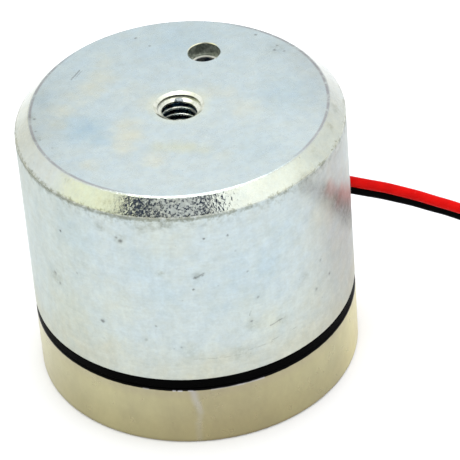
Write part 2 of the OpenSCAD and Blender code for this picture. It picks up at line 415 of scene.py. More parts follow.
JOINT_Y = (1.9, 4.1)
SPLICE_X = 10.75
START_Z = 16.2
FINISH_Z = 14.6
TAIL_R = 0.1
INNER_LAY = 4.0
SLOT_ANGLE = radians(36)
WINDING_R = 9.6
SMALL_WIRES = {
    "start_tail": [
        (SPLICE_X, JOINT_Y[1], START_Z), (10.55, 5.2, 16.6), (9.95, 6.2, 17.8),
        (9.5, 6.8, 19.4), (9.1, 6.65, 20.8), (8.6, 6.25, 21.35), (7.4, 5.38, 21.4),
        (6.5, 4.72, 21.3), (6.3, 4.58, 21),
    ],
    "finish_tail": [
        (SPLICE_X, -JOINT_Y[1], FINISH_Z), (10.4, -5.2, 14.4), (9.8, -6.1, 13.6),
        (9.1, -6.35, 12.6), (8.4, -6.1, 12.2),
        (WINDING_R * cos(SLOT_ANGLE), -WINDING_R * sin(SLOT_ANGLE), 12.2),
    ],
    "red_inner_end": [
        (12.5, 0.3, 15.9), (11.9, 0.4, 16.05), (11.3, 0.7, 16.2), (10.9, 1.2, 16.2),
        (SPLICE_X, JOINT_Y[0], START_Z),
    ],
    "black_inner_end": [
        (12.7, 0.4, 14.8), (12, 0.2, 14.7), (11.4, -0.2, 14.6), (10.95, -1, 14.6),
        (SPLICE_X, -JOINT_Y[0], FINISH_Z),
    ],
}


def add_small_wire(node, route):
    if node.endswith("_tail"):
        piece = add_tube(node + "_wire", smooth_line(route, FINE_STEP), TAIL_R, 12)
    else:
        piece = add_strands(node + "_strands", route, STRAND_D / 2, INNER_LAY, 8)
    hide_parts(node)
    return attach(piece, "magnet")


small_wires = {node: add_small_wire(node, route) for node, route in SMALL_WIRES.items()}


TIE_WIDTH = 1.2
TIE_THICK = 0.3
TIE_INNER_R = 2.55
TIE_OUTER_R = 8.64
TIE_TOP_Z = 2.45
TIE_CORNER_R = 0.32


def tie_outline():
    """Middle line of the band as (distance from the coil's middle, height), counterclockwise."""
    inner, outer = TIE_INNER_R + TIE_CORNER_R, TIE_OUTER_R - TIE_CORNER_R
    low, high = TIE_THICK / 2 + TIE_CORNER_R, TIE_TOP_Z - TIE_CORNER_R
    outline = []
    for r, z, start in ((outer, low, -90), (outer, high, 0), (inner, high, 90), (inner, low, 180)):
        for k in range(7):
            a = radians(start + 90 * k / 6)
            outline.append((r + TIE_CORNER_R * cos(a), z + TIE_CORNER_R * sin(a)))
    return outline


def add_tie(node, angle):
    """Flat tie round the coil: a rounded band whose end laps over its start on top."""
    half = TIE_WIDTH / 2
    half_t = TIE_THICK / 2
    bevel = 0.06
    section = [
        (-half, -half_t + bevel), (-half + bevel, -half_t), (half - bevel, -half_t),
        (half, -half_t + bevel), (half, half_t - bevel), (half - bevel, half_t),
        (-half + bevel, half_t), (-half, half_t - bevel),
    ]
    outline = tie_outline()
    count, n = len(outline), len(section)
    verts, faces = [], []
    for i in range(count):
        before, after = outline[i - 1], outline[(i + 1) % count]
        tx, tz = after[0] - before[0], after[1] - before[1]
        size = (tx * tx + tz * tz) ** 0.5
        nx, nz = tz / size, -tx / size
        for across, out in section:
            verts.append((outline[i][0] + out * nx, across, outline[i][1] + out * nz))
    for i in range(count):
        faces += quads(i * n, (i + 1) % count * n, n)
    # the free end lies on top of the band, slightly narrower and thinner
    lap = [(3.4 + 0.35 * k, TIE_TOP_Z + TIE_THICK * 0.94 - 0.02 * (k > 6)) for k in range(9)]
    base = len(verts)
    for x, z in lap:
        for across, out in section:
            verts.append((x, across * 0.92, z - out * 0.8))
    for i in range(len(lap) - 1):
        faces += quads(base + i * n, base + (i + 1) * n, n, flip=True)
    last = base + (len(lap) - 1) * n
    faces.append(tuple(base + k for k in range(n)))
    faces.append(tuple(last + k for k in reversed(range(n))))
    turn = Matrix.Translation((*COIL_CENTRE, 0)) @ Matrix.Rotation(radians(angle), 4, "Z")
    verts = [turn @ Vector(v) for v in verts]
    piece = crease(add_mesh(node + "_band", verts, faces), 40)
    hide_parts(node)
    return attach(piece, "keeper_side")


ties = [add_tie("coil_tie_1", 50), add_tie("coil_tie_2", 220)]

# ---- material helpers


class Nodes:
    """Short ways to add the usual nodes to a tree."""

    def __init__(self, tree):
        self.tree = tree

    def put(self, socket, value):
        if isinstance(value, bpy.types.NodeSocket):
            self.tree.links.new(value, socket)
        else:
            socket.default_value = value

    def node(self, kind, inputs=None, **attributes):
        made = self.tree.nodes.new(kind)
        for key, value in attributes.items():
            setattr(made, key, value)
        for key, value in (inputs or {}).items():
            self.put(made.inputs[key], value)
        return made

    def vector(self, operation, *values, scale=None):
        inputs = dict(enumerate(values))
        if scale is not None:
            inputs["Scale"] = scale
        node = self.node("ShaderNodeVectorMath", inputs, operation=operation)
        numeric = operation in ("DISTANCE", "LENGTH", "DOT_PRODUCT")
        return node.outputs["Value" if numeric else "Vector"]

    def math(self, operation, *values, clamp=False):
        inputs = dict(enumerate(values))
        return self.node("ShaderNodeMath", inputs, operation=operation, use_clamp=clamp).outputs[0]

    def times(self, a, b):
        return self.math("MULTIPLY", a, b)

    def plus(self, a, b):
        return self.math("ADD", a, b)

    def minus(self, a, b):
        return self.math("SUBTRACT", a, b)

    def larger(self, a, b):
        return self.math("MAXIMUM", a, b)

    def size(self, a):
        return self.math("ABSOLUTE", a)

    def away(self, place, point):
        return self.vector("DISTANCE", place, point)

    def smooth(self, value, low, high, to_low=0.0, to_high=1.0):
        node = self.node("ShaderNodeMapRange", {
            "Value": value, "From Min": low, "From Max": high,
            "To Min": to_low, "To Max": to_high}, interpolation_type="SMOOTHSTEP")
        return node.outputs["Result"]

    def mix(self, factor, a, b, blend_type="MIX"):
        node = self.node("ShaderNodeMix", data_type="RGBA", blend_type=blend_type)
        self.put(node.inputs[0], factor)
        self.put(node.inputs[6], colour4(a))
        self.put(node.inputs[7], colour4(b))
        return node.outputs[2]

    def blend(self, mask, a, b):
        """A number that goes from a to b with the mask."""
        node = self.node("ShaderNodeMix", {0: mask, 2: a, 3: b}, data_type="FLOAT")
        return node.outputs[0]


class Shader(Nodes):
    """One node material. Its coordinates are millimetres in the object's frame."""

    def __init__(self, name, inputs):
        self.material = bpy.data.materials.new(name)
        self.material.use_nodes = True
        super().__init__(self.material.node_tree)
        self.tree.nodes.clear()
        self.bsdf = self.node("ShaderNodeBsdfPrincipled", inputs)
        output = self.node("ShaderNodeOutputMaterial")
        self.tree.links.new(self.bsdf.outputs["BSDF"], output.inputs["Surface"])
        coords = self.node("ShaderNodeTexCoord").outputs["Object"]
        self.place = self.vector("SCALE", coords, scale=1 / MM)
        split = self.node("ShaderNodeSeparateXYZ", {0: self.place})
        self.x, self.y, self.z = split.outputs

    def set(self, **inputs):
        for key, value in inputs.items():
            self.put(self.bsdf.inputs[key.replace("_", " ")], value)

    def shaded(self, tone, shade):
        """The tone times a number."""
        grey = self.node("ShaderNodeCombineColor", {0: shade, 1: shade, 2: shade}).outputs[0]
        return self.mix(1.0, tone, grey, "MULTIPLY")

    def tint(self, mask, tint):
        """Multiplies the tone so far by a tint, where the mask is 1."""
        self.tone = self.mix(mask, self.tone, tint, "MULTIPLY")

    def paint(self, mask, colour):
        """Lays a colour over the tone so far, where the mask is 1."""
        self.tone = self.mix(mask, self.tone, colour)

    def noise(self, scale, detail=2.0, roughness=0.5, place=None, distortion=0.0, colour=False):
        node = self.node("ShaderNodeTexNoise", {
            "Vector": self.place if place is None else place, "Scale": scale,
            "Detail": detail, "Roughness": roughness, "Distortion": distortion})
        return node.outputs["Color" if colour else "Fac"]

    def stretched(self, x, y, z):
        return self.vector("MULTIPLY", self.place, (x, y, z))

    def radius(self):
        flat = self.vector("MULTIPLY", self.place, (1, 1, 0))
        return self.vector("LENGTH", flat)

    def warped(self, scale, amount):
        """The place, pushed about by noise, for patches with uneven outlines."""
        parts = self.node("ShaderNodeSeparateColor", {0: self.noise(scale, 3, 0.6, colour=True)})
        noise = self.node("ShaderNodeCombineXYZ", dict(enumerate(parts.outputs))).outputs[0]
        centred = self.vector("SUBTRACT", noise, (0.5, 0.5, 0.5))
        return self.vector("ADD", self.place, self.vector("SCALE", centred, scale=amount))

    def spots(self, centres, place):
        """A strength at each centre, falling to 0 at its radius."""
        total = 0.0
        for x, y, z, r, strength in centres:
            away = self.away(place, (x, y, z))
            total = self.larger(self.smooth(away, r, 0.0, 0.0, strength), total)
        return total

    def strokes(self, lines, place):
        """A strength on each line, falling to 0 at its half width."""
        total = 0.0
        for start, end, width, strength in lines:
            way = Vector(end) - Vector(start)
            from_start = self.vector("SUBTRACT", place, start)
            along = self.math("MULTIPLY", self.vector("DOT_PRODUCT", from_start, way[:]),
                              1 / way.length_squared, clamp=True)
            away = self.away(from_start, self.vector("SCALE", way[:], scale=along))
            total = self.larger(self.smooth(away, width, 0.0, 0.0, strength), total)
        return total

    def bump(self, height, depth, normal=None, strength=1.0):
        """depth is the height of the relief in millimetres."""
        inputs = {"Height": height, "Distance": depth * MM, "Strength": strength}
        if normal is not None:
            inputs["Normal"] = normal
        return self.node("ShaderNodeBump", inputs).outputs["Normal"]


def colour4(c):
    return c if isinstance(c, bpy.types.NodeSocket) or len(c) == 4 else (*c, 1.0)


def wear(pieces, material):
    """Puts a material on pieces or CAD nodes, and names the slot for new pieces."""
    for piece in pieces:
        if isinstance(piece, str):
            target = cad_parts[piece]
        else:
            target = piece
        if target.material_slots:
            for s in target.material_slots:
                s.material = material
        else:
            target.data.materials.append(material)


# ---- marks on the plating


def on_side(angle, z, r=15.0):
    return (r * cos(radians(angle)), r * sin(radians(angle)), z)


TOP_Z = BODY_TOP
FLAT_R = 13.6  # where the top face ends and the chamfer starts
CHAMFER_Z = TOP_Z - 1.4  # where the chamfer ends and the wall starts
CHAMFER_R = 14.3
HOLE = (4.3, 7.448)
HOLE_R = 1.5
HOLE_DEPTH = 1.35
INNER_HOLE_R = 1.2
PATCH_MIDDLE = on_side(-102, TOP_Z - 0.7, CHAMFER_R)  # speckled front of the chamfer


def marks(top=(), side=(), edge=()):
    """Spots as (x, y, z, radius, strength) in millimetres. A row starts with x, y on the
    top face, with an angle and a height on the side, and with x, y, z on the chamfer."""
    on_top = [(x, y, TOP_Z, *rest) for x, y, *rest in top]
    on_wall = [(*on_side(angle, z), *rest) for angle, z, *rest in side]
    return on_top + on_wall + list(edge)


def top_strokes(rows):
    """Strokes as (end, end, half width, strength); a row starts with x, y, x, y."""
    return [((x0, y0, TOP_Z), (x1, y1, TOP_Z), *rest) for x0, y0, x1, y1, *rest in rows]


def side_strokes(rows):
    """Strokes on the side; a row starts with angle, height, angle, height."""
    return [(on_side(a0, z0), on_side(a1, z1), *rest) for a0, z0, a1, z1, *rest in rows]


WARM_CLOUDS = marks(
    top=[
        (-4.7, 9.1, 2, 0.5), (-5.4, 6.8, 2.2, 0.8), (-6.9, 5.3, 2.4, 0.9), (-8.6, 4.3, 1.8, 0.5),
        (-10, 2.6, 1.9, 0.8), (-10.8, 0.8, 1.6, 0.6), (-5.2, -1.4, 2, 0.9), (-5.4, -2.9, 2.3, 1),
        (-6, -4.3, 1.8, 0.8), (2, -8.6, 1.5, 0.4), (-9.6, -5.9, 1.4, 0.7), (-4.1, -7.4, 1.8, 0.8),
        (5.4, -2.4, 2.6, 0.5), (-2.6, 1.2, 2, 0.5), (3, 1, 2, 0.5), (4.4, 0.4, 1.5, 0.5),
        (-3.4, 3.6, 2.2, 0.4),
    ],
    side=[
        (-130, 15.4, 4, 0.6), (-83, 14.9, 2.6, 0.5), (-59, 12.2, 3.4, 0.6), (-101, 8.3, 4.5, 0.5),
        (-134, 10.5, 4, 0.6), (-65, 8.5, 4.5, 0.6), (-48, 20.5, 3, 0.6), (-110, 23.5, 3.4, 0.5),
        (-152, 12, 5, 0.8), (-76, 12, 3.2, 0.9),
    ],
)
WARM_BAND = top_strokes([
    (-3.3, -5.5, -1.9, -6, 1.3, 0.8), (-1.9, -6, -0.6, -6.6, 1.3, 1),
    (-0.6, -6.6, 0.6, -7.5, 1.2, 0.6),
])
BLUE_CLOUDS = marks(
    top=[
        (-8.8, -0.8, 3.3, 1), (-9.6, 0.6, 2.2, 0.6), (-8, -2.4, 2.2, 0.7), (9.6, -1.6, 4.6, 0.45),
        (2.5, 9.5, 4.5, 0.4), (-11.6, 5.2, 2, 0.4), (4.5, -8.5, 4.5, 0.3),
    ],
    side=[
        (-84, 18.5, 7.5, 0.55), (-75, 18.3, 2.6, 1), (-76, 18.7, 3.6, 0.9), (-68, 21.5, 3.4, 0.6),
        (-144, 22, 3.8, 0.7), (-119, 20.5, 3.6, 0.6), (-112, 17.3, 3, 0.7), (-94, 15.5, 3, 0.5),
    ],
)
PITS = marks(
    top=[
        (-12.8, 2.5, 0.22, 0.8), (-12.4, 6.9, 0.2, 0.7), (-1.1, 11.9, 0.2, 0.9), (-0.2, 10.2, 0.17, 0.8),
        (9.5, 8.5, 0.24, 0.7), (10.5, 5.5, 0.26, 0.6), (10.9, 6.1, 0.2, 0.6), (11.3, 5, 0.2, 0.6),
        (-13.1, 0.6, 0.2, 0.6), (-13, -0.8, 0.16, 0.6), (-12.2, -2.4, 0.16, 0.5),
    ],
    side=[
        (-151, 21.6, 0.24, 1), (-157, 16, 0.3, 0.6), (-155, 15.1, 0.28, 0.5), (-101, 19.1, 0.24, 0.7),
        (-98.6, 19.3, 0.22, 0.5), (-102, 17.8, 0.18, 0.8), (-80, 15.5, 0.22, 0.5), (-136, 13.1, 0.34, 0.8),
        (-116, 13.7, 0.22, 0.5), (-83, 18.7, 0.2, 0.5), (-83, 13, 0.22, 0.6), (-55, 12.9, 0.34, 0.5),
        (-97, 23.3, 0.2, 0.9), (-89, 23.2, 0.2, 0.8), (-47, 13.3, 0.3, 0.6), (-125.5, 22.9, 0.3, 0.8),
        (-127, 23.2, 0.2, 0.6), (-52, 15.7, 0.25, 0.4), (-120, 12, 0.25, 0.3), (-108, 11.3, 0.2, 0.4),
        (-86.7, 21.3, 0.2, 0.3), (-145, 17.6, 0.2, 0.4),
    ],
)
SMUDGES = marks(
    top=[(10.6, 5.6, 1.5, 0.35), (-13.1, 3, 0.9, 0.35), (-13.3, -0.6, 0.8, 0.35)],
    side=[
        (-126, 23.2, 0.9, 0.55), (-118, 24.5, 0.9, 0.5), (-110.5, 25, 0.7, 0.8), (-108, 24.9, 0.6, 0.6),
        (-114, 24.8, 0.6, 0.6), (-100, 19.2, 0.8, 0.5), (-133, 24, 0.8, 0.5), (-157, 15.6, 1.4, 0.5),
        (-141, 19, 1, 0.3), (-83, 12.6, 1.1, 0.3), (-72, 11.9, 0.9, 0.45), (-113, 19.6, 0.6, 0.5),
        (-105, 10.9, 1.6, 0.25), (-88, 9.8, 1.6, 0.3), (-60, 15.2, 0.8, 0.3),
    ],
    edge=[
        (-11.9, -7, 26.6, 0.5, 0.7), (-9.4, -10.9, 26.4, 0.5, 0.6), (13.1, -4.6, 26.5, 0.9, 0.6),
        (12, -7.2, 26.5, 0.7, 0.5), (9.6, -10.2, 26.4, 0.7, 0.4),
    ],
)
# Painted reflection of the leads: a dull, partly red band from the chamfer down to the lead exit, standing
# in for their blurred reflection and shade in the wall
LEAD_REFLECTION_RED = side_strokes([(-44, 22.4, -35, 20.1, 1.2, 0.6), (-35, 20.1, -18, 16.4, 1.7, 1)])
LEAD_REFLECTION_SHADE = side_strokes([
    (-58, 25.2, -49, 22.9, 1.4, 0.5), (-49, 22.9, -40, 20.3, 1.7, 0.65), (-40, 20.3, -31, 17.5, 1.9, 0.9),
    (-31, 17.5, -20, 14.9, 2.2, 1), (-20, 14.9, -6, 14, 2.2, 0.7),
])
SCRATCHES = top_strokes([
    (-8.3, 7.4, -7.2, 8.6, 0.12, 0.6), (-7.9, 7.5, -7, 8.5, 0.07, 0.5),
]) + side_strokes([
    (-76, 11.8, -71.5, 12, 0.12, 0.5), (-101.5, 19, -98.2, 19.5, 0.16, 0.5),
    (-104, 9.9, -96, 9.7, 0.07, 0.3), (-95, 9.7, -86, 9.6, 0.07, 0.3), (-85, 9.9, -76, 9.9, 0.10, 0.3),
    (-76, 10.1, -66, 10.2, 0.09, 0.35), (-83, 14.2, -83.6, 13.7, 0.1, 0.4),
])
KEEPER_TOP = span("keeper_disc")[1].z
KEEPER_R = span("keeper_disc")[1].x
KEEPER_STREAK = side_strokes([
    (-105.4, 6.2, -104.8, 4.9, 0.55, 1.0), (-104.8, 4.9, -103.6, 3.6, 0.55, 1.0),
    (-103.6, 3.6, -104.6, 2.2, 0.5, 0.8), (-104.6, 2.2, -104.8, 0.2, 0.5, 0.7),
])
KEEPER_GLINTS = side_strokes([
    (-107, 6.15, -105.5, 6.15, 0.12, 0.8), (-110.5, 6.15, -109.3, 6.15, 0.13, 1.0),
    (-112.3, 6.18, -111.6, 6.18, 0.12, 0.9), (-99, 6.13, -90, 6.13, 0.12, 0.5),
    (-90, 6.13, -80, 6.13, 0.13, 0.75), (-123, 6.15, -121, 6.15, 0.12, 0.5),
])

# ---- metal


def mottle(s, amount):
    """Uneven shade at several scales, with its colour drifting between warm and cool."""
    low, high = s.minus(1.0, amount), s.plus(1.0, amount)
    s.tone = s.shaded(s.tone, s.smooth(s.noise(0.8, 6, 0.82), 0.25, 0.75, low, high))
    drift = s.smooth(s.noise(0.7, 5, 0.78), 0.32, 0.68)
    s.tint(1.0, s.mix(drift, (1.02, 1.0, 0.965), (0.98, 1.0, 1.03)))


def turned_marks(s):
    """Faint lines left round the axis by the turning tool and along it by handling."""
    round_axis = s.noise(1.0, 3, 0.6, place=s.stretched(0.15, 0.15, 3.2))
    along_axis = s.noise(1.0, 3, 0.6, place=s.stretched(1.5, 1.5, 0.1))
    return s.plus(s.times(round_axis, 0.5), s.times(along_axis, 0.5))


def tiny_dots(s, per_mm, share):
    """Small dark dots, a share of one to each cell."""
    cells = s.node("ShaderNodeTexVoronoi", {"Vector": s.place, "Scale": per_mm, "Randomness": 1.0})
    chance = s.node("ShaderNodeSeparateColor", {0: cells.outputs["Color"]}).outputs[0]
    size = s.times(chance, 0.07)
    return s.times(s.smooth(cells.outputs["Distance"], 0.09, size),
                   s.math("LESS_THAN", chance, share))


# Colours of the zinc; a tint multiplies what it lies on
WALL_COOL = (0.503, 0.566, 0.560)
WALL_WARM = (0.498, 0.528, 0.475)
FLAT_NEAR = (0.508, 0.580, 0.570)
FLAT_FAR = (0.450, 0.528, 0.530)
CHAMFER_TONE = (0.560, 0.600, 0.555)
BLUE_ON_FLAT = (0.78, 0.87, 0.95)
BLUE_ON_WALL = (0.90, 0.955, 1.01)
WARM_ON_FLAT = (1.13, 1.02, 0.87)
WARM_ON_WALL = (1.05, 1.00, 0.90)
WARM_BAND_TINT = (1.03, 0.97, 0.82)
GRIME = (0.50, 0.49, 0.42)
EDGE_LINE_TINT = (0.70, 0.62, 0.62)
SMEAR = (0.66, 0.65, 0.60)
# Painted reflection of the leads in the wall: its shade and its red
LEAD_REFLECTION_SHADE_TINT = (0.40, 0.37, 0.35)
LEAD_REFLECTION_RED_TINT = (0.94, 0.55, 0.53)
PIT = (0.12, 0.125, 0.12)
# Painted light and shade in the threaded hole: lit countersink, shaded line, shaded roots, highlighted
# crests, dark reflection in the bore
SINK_DARK, SINK_LIGHT = (0.52, 0.54, 0.44), (0.72, 0.74, 0.64)
SINK_SHADE = (0.16, 0.17, 0.15)
ROOT_SHADE_DARK, ROOT_SHADE_LIGHT = (0.015, 0.030, 0.065), (0.10, 0.20, 0.28)
CREST_HIGHLIGHT_DARK, CREST_HIGHLIGHT_LIGHT = (0.34, 0.42, 0.42), (0.98, 1.0, 0.95)
BORE_REFLECTION_DARK, BORE_REFLECTION_LIGHT = (0.015, 0.020, 0.022), (0.20, 0.22, 0.22)
# Painted light and shade in the locating hole: shaded wall, dark drilled hole, highlighted rim and ledge
HOLE_DARK, HOLE_LIGHT = (0.20, 0.23, 0.20), (0.58, 0.62, 0.57)
DRILL_DARK, DRILL_LIGHT = (0.04, 0.06, 0.11), (0.40, 0.40, 0.34)
RIM_HIGHLIGHT = (0.66, 0.66, 0.50)
LEDGE_HIGHLIGHT = (1.0, 1.0, 0.94)


class Zinc(Shader):
    """The housing's plating, with masks for its wall and its chamfer."""

    def __init__(self):
        super().__init__("zinc_plate", {"Metallic": 1.0})
        self.r = self.radius()
        self.depth = self.minus(TOP_Z, self.z)
        self.soft = self.warped(0.6, 1.8)
        self.on_wall = self.smooth(self.r, 14.9, 14.98)
        self.on_chamfer = self.times(self.smooth(self.z, CHAMFER_Z - 0.03, CHAMFER_Z + 0.03),
                                     self.smooth(self.r, FLAT_R - 0.02, FLAT_R + 0.02))


def plate(s):
    """Mottled colour of the wall, the top face and the chamfer."""
    low_line = s.plus(s.z, s.times(s.noise(0.3, 3, 0.6), 6.0))
    wall_tone = s.mix(s.smooth(low_line, 15.5, 10.5), WALL_COOL, WALL_WARM)
    wall_tone = s.shaded(wall_tone, s.smooth(turned_marks(s), 0.35, 0.65, 0.975, 1.025))
    specks = s.noise(2.6, 4, 0.75, place=s.stretched(1, 1, 1.5))
    wall_tone = s.shaded(wall_tone, s.smooth(specks, 0.3, 0.7, 0.955, 1.03))
    from_front = s.away(s.place, (3.0, -13.0, TOP_Z))
    flat_tone = s.mix(s.smooth(from_front, 6.0, 27.0), FLAT_NEAR, FLAT_FAR)
    s.tone = s.mix(s.on_wall, flat_tone, wall_tone)
    s.paint(s.on_chamfer, CHAMFER_TONE)
    mottle(s, s.blend(s.on_wall, 0.075, 0.085))


def add_clouds(s):
    """Faint blue and warm clouds, as on thin zinc plating."""
    s.tint(s.spots(BLUE_CLOUDS, s.soft), s.mix(s.on_wall, BLUE_ON_FLAT, BLUE_ON_WALL))
    s.tint(s.spots(WARM_CLOUDS, s.soft), s.mix(s.on_wall, WARM_ON_FLAT, WARM_ON_WALL))
    s.tint(s.strokes(WARM_BAND, s.warped(1.0, 0.6)), WARM_BAND_TINT)


def paint_shaded_ends(s):
    """Painted shade: darker, warmer tints at the rim's left and right, on the chamfer's front right and
    towards both sides of the wall, standing in for the darker surroundings these parts reflect.
    """
    left = s.smooth(s.away(s.soft, (-13.4, 3.0, TOP_Z)), 10.0, 1.5)
    left = s.times(left, s.smooth(s.r, 9.0, 13.0))
    s.tint(left, s.mix(s.on_chamfer, (0.90, 0.88, 0.85), (0.88, 0.86, 0.79)))
    right = s.smooth(s.away(s.soft, (13.2, 0.5, TOP_Z)), 10.0, 1.5)
    right = s.times(right, s.smooth(s.r, 10.0, 13.0))
    s.tint(right, (0.91, 0.89, 0.88))
    front_right = s.smooth(s.away(s.soft, on_side(-42, CHAMFER_Z, CHAMFER_R)), 9.0, 2.0)
    s.tint(s.times(front_right, s.on_chamfer), (0.93, 0.92, 0.86))
    right_wall = s.times(s.smooth(s.x, 4.5, 11.0), s.on_wall)
    right_wall = s.blend(s.smooth(s.z, 19.0, 12.0), s.times(right_wall, 0.6), right_wall)
    s.tint(right_wall, (0.93, 0.89, 0.83))
    left_wall = s.times(s.smooth(s.x, -9.5, -13.5), s.on_wall)
    s.tint(left_wall, (0.95, 0.94, 0.90))


def add_handling(s):
    """Grime in the chamfer's lower edge, a darker pinkish line along its upper edge at left and right,
    smudges and smears.
    """
    ragged = s.times(s.minus(s.noise(3.0, 4, 0.75), 0.5), 1.0)
    below_edge = s.plus(s.minus(CHAMFER_Z - 0.08, s.z), ragged)
    grime = s.smooth(s.size(below_edge), 0.34, 0.06)
    leftmost = s.smooth(s.x, 2.0, -7.0, -0.02, 0.14)
    patchy = s.plus(s.noise(0.8, 4, 0.7), leftmost)
    grime = s.times(grime, s.smooth(patchy, 0.44, 0.58))
    grime = s.times(grime, s.times(s.smooth(s.r, 14.4, 14.7), 0.9))
    edge_line = s.smooth(s.size(s.minus(s.r, FLAT_R - 0.14)), 0.20, 0.04)
    edge_line = s.times(edge_line, s.smooth(s.depth, 0.25, 0.1))
    edge_line = s.times(edge_line, s.smooth(s.noise(0.7, 4, 0.7), 0.30, 0.52))
    edge_line = s.times(edge_line, s.smooth(s.size(s.x), 6.0, 10.0))
    s.tint(edge_line, EDGE_LINE_TINT)
    smudges = s.spots(SMUDGES, s.warped(1.4, 0.8))
    smudges = s.times(smudges, s.smooth(s.noise(2.2, 4, 0.7), 0.35, 0.6, 0.15, 1.0))
    s.tint(s.larger(smudges, grime), GRIME)
    smear = s.times(s.smooth(s.z, CHAMFER_Z - 1.6, CHAMFER_Z - 0.2), s.on_wall)
    smear = s.times(smear, s.smooth(s.noise(1.8, 5, 0.75), 0.46, 0.64, 0.0, 0.7))
    s.tint(smear, SMEAR)


def paint_lead_reflection(s):
    # Painted reflection and shade of the leads in the housing's wall
    speckled = s.smooth(s.noise(2.4, 4, 0.75), 0.3, 0.62, 0.55, 1.0)
    shade = s.times(s.strokes(LEAD_REFLECTION_SHADE, s.warped(0.8, 1.2)), speckled)
    s.tint(shade, LEAD_REFLECTION_SHADE_TINT)
    s.tint(s.strokes(LEAD_REFLECTION_RED, s.warped(1.0, 1.0)), LEAD_REFLECTION_RED_TINT)


def paint_threaded_hole(s, scraped):
    """Painted light and shade in the threaded hole: a creamy lit countersink with a painted cream glow
    round it, a painted shadow at its near left and a shaded line under it, thread roots darkened as
    painted shade, crests lit as painted highlights, and a dark painted reflection on the bore above the
    thread.
    """
    s.tint(s.smooth(s.r, 3.3, 2.2, 0.0, 0.8), (1.12, 1.06, 0.93))
    in_sink = s.smooth(s.r, SINK_R + 0.06, SINK_R - 0.04)
    sink_tone = s.mix(s.smooth(s.noise(1.5, 3, 0.7), 0.35, 0.6), SINK_DARK, SINK_LIGHT)
    s.paint(in_sink, sink_tone)
    shade = s.smooth(s.away(s.place, (-1.98, -0.98, TOP_Z - 0.1)), 0.75, 0.25, 0.0, 0.85)
    lip = s.times(s.smooth(s.depth, 0.20, 0.28), s.smooth(s.depth, 0.44, 0.36))
    lip = s.times(lip, s.smooth(s.r, 1.84, 1.90))
    dark_line = s.larger(shade, s.times(lip, s.smooth(s.y, -0.6, 1.4, 0.15, 0.75)))
    s.paint(s.times(dark_line, in_sink), SINK_SHADE)
    in_thread = s.times(in_sink, s.smooth(s.depth, 0.84, 0.90))
    shaded_roots = s.times(in_thread, s.smooth(s.r, 1.68, 1.76))
    lit_crests = s.times(in_thread, s.smooth(s.r, 1.68, 1.64))
    glints = s.smooth(s.noise(1.6, 2, 0.5), 0.42, 0.62)
    s.paint(shaded_roots, s.mix(glints, ROOT_SHADE_DARK, ROOT_SHADE_LIGHT))
    s.paint(lit_crests, s.mix(glints, CREST_HIGHLIGHT_DARK, CREST_HIGHLIGHT_LIGHT))
    bore_reflection = s.times(s.smooth(s.away(s.place, (0.35, 1.6, TOP_Z - 0.7)), 0.55, 0.35),
                           s.smooth(s.depth, 0.45, 0.52))
    s.paint(bore_reflection, s.mix(scraped, BORE_REFLECTION_DARK, BORE_REFLECTION_LIGHT))


def paint_locating_hole(s, scraped):
    """Painted light and shade in the locating hole: a wall darkened as painted shade, painted highlights
    on the rim's back and on the thin ledge, and a dark drilled hole as painted shade; returns two of the
    masks.
    """
    from_axis = s.vector("MULTIPLY", s.vector("SUBTRACT", s.place, (*HOLE, 0)), (1, 1, 0))
    away = s.vector("LENGTH", from_axis)
    in_hole = s.times(s.smooth(away, HOLE_R + 0.06, HOLE_R + 0.02), s.smooth(s.depth, 0.05, 0.10))
    rim_highlight = s.times(s.smooth(away, HOLE_R + 0.12, HOLE_R + 0.04),
                   s.smooth(s.y, HOLE[1] + 0.2, HOLE[1] + 1.1))
    in_drill = s.times(in_hole, s.smooth(away, INNER_HOLE_R + 0.05, INNER_HOLE_R + 0.01))
    in_drill = s.times(in_drill, s.smooth(s.depth, HOLE_DEPTH + 0.02, HOLE_DEPTH + 0.12))
    ledge = s.times(in_hole, s.smooth(away, HOLE_R - 0.03, HOLE_R - 0.06))
    ledge = s.times(ledge, s.smooth(s.depth, HOLE_DEPTH - 0.2, HOLE_DEPTH - 0.02))
    wall = s.mix(scraped, HOLE_DARK, HOLE_LIGHT)
    s.paint(rim_highlight, RIM_HIGHLIGHT)
    s.paint(in_hole, wall)
    s.paint(ledge, LEDGE_HIGHLIGHT)
    s.paint(in_drill, s.mix(scraped, DRILL_DARK, DRILL_LIGHT))
    return in_hole, ledge


